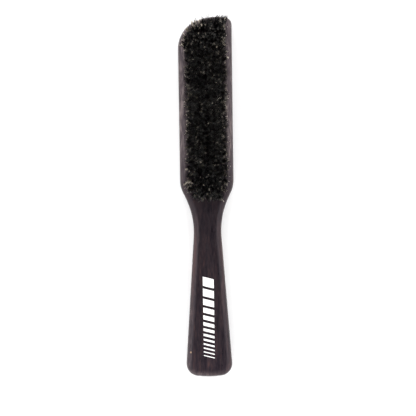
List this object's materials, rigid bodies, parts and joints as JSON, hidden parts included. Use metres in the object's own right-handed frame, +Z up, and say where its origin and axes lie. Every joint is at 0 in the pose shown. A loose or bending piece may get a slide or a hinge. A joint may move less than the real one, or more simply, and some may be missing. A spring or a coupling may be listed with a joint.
{
  "type": "fade brush",
  "caption": "Straight wooden barber's fade brush with a sloped tip, for brushing cut hair off the head and neck; dark bristle tufts are anchored in drilled holes.",
  "frame": {"origin": "on the flat back face, in the middle of the brush's length and width; the brush lies on its back", "axes": "+Y from the butt of the handle to the tip of the head, +Z up through the bristles, +X to the right seen from the bristle side with the tip up"},
  "size_m": [0.0308, 0.205, 0.025],
  "materials": {
    "stained_wood": "dark brown-black stain, satin lacquer, fine open grain along the brush",
    "boar_bristle": "black boar bristle with a few undyed, cream hairs",
    "anchor_wire": "galvanised flat wire",
    "white_ink": "matt white pad print"
  },
  "bodies": {
    "root": {"anchor_row_01": "anchor_wire", "anchor_row_02": "anchor_wire", "anchor_row_03": "anchor_wire", "anchor_row_04": "anchor_wire", "anchor_row_05": "anchor_wire", "anchor_row_06": "anchor_wire", "anchor_row_07": "anchor_wire", "anchor_row_08": "anchor_wire", "anchor_row_09": "anchor_wire", "anchor_row_10": "anchor_wire", "anchor_row_11": "anchor_wire", "anchor_row_12": "anchor_wire", "anchor_row_13": "anchor_wire", "anchor_row_14": "anchor_wire", "anchor_row_15": "anchor_wire", "anchor_row_16": "anchor_wire", "anchor_row_17": "anchor_wire", "anchor_row_18": "anchor_wire", "anchor_row_19": "anchor_wire", "anchor_row_20": "anchor_wire", "anchor_row_21": "anchor_wire", "anchor_row_22": "anchor_wire", "anchor_row_23": "anchor_wire", "anchor_row_24": "anchor_wire", "anchor_row_25": "anchor_wire", "anchor_row_26": "anchor_wire", "printed_mark": "white_ink", "tuft_row_01": "boar_bristle", "tuft_row_02": "boar_bristle", "tuft_row_03": "boar_bristle", "tuft_row_04": "boar_bristle", "tuft_row_05": "boar_bristle", "tuft_row_06": "boar_bristle", "tuft_row_07": "boar_bristle", "tuft_row_08": "boar_bristle", "tuft_row_09": "boar_bristle", "tuft_row_10": "boar_bristle", "tuft_row_11": "boar_bristle", "tuft_row_12": "boar_bristle", "tuft_row_13": "boar_bristle", "tuft_row_14": "boar_bristle", "tuft_row_15": "boar_bristle", "tuft_row_16": "boar_bristle", "tuft_row_17": "boar_bristle", "tuft_row_18": "boar_bristle", "tuft_row_19": "boar_bristle", "tuft_row_20": "boar_bristle", "tuft_row_21": "boar_bristle", "tuft_row_22": "boar_bristle", "tuft_row_23": "boar_bristle", "tuft_row_24": "boar_bristle", "tuft_row_25": "boar_bristle", "tuft_row_26": "boar_bristle", "wooden_body": "stained_wood"}
  },
  "joints": []
}
